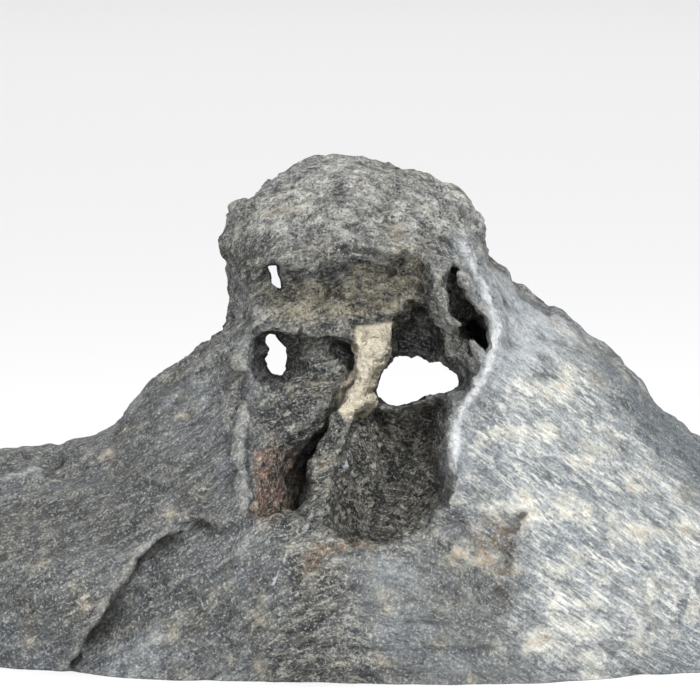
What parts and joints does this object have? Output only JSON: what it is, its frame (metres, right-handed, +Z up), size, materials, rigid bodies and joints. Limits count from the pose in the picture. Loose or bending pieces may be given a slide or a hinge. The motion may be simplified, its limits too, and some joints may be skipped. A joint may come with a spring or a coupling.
{
  "type": "scholars rock",
  "caption": "Mountain-shaped display stone with a crown block over a pierced grotto, a long low shoulder, a steep slope and a flat foot.",
  "frame": {"origin": "middle of the stone's bounding box, on the flat foot", "axes": "+X along the length, towards the steep slope; the grotto faces -Y; +Z up"},
  "size_m": [0.3316, 0.1598, 0.1425],
  "materials": {
    "stone": "weathered, dry and matt, with a faint sheen on worn edges"
  },
  "bodies": {
    "root": {"rock": "stone"}
  },
  "joints": []
}
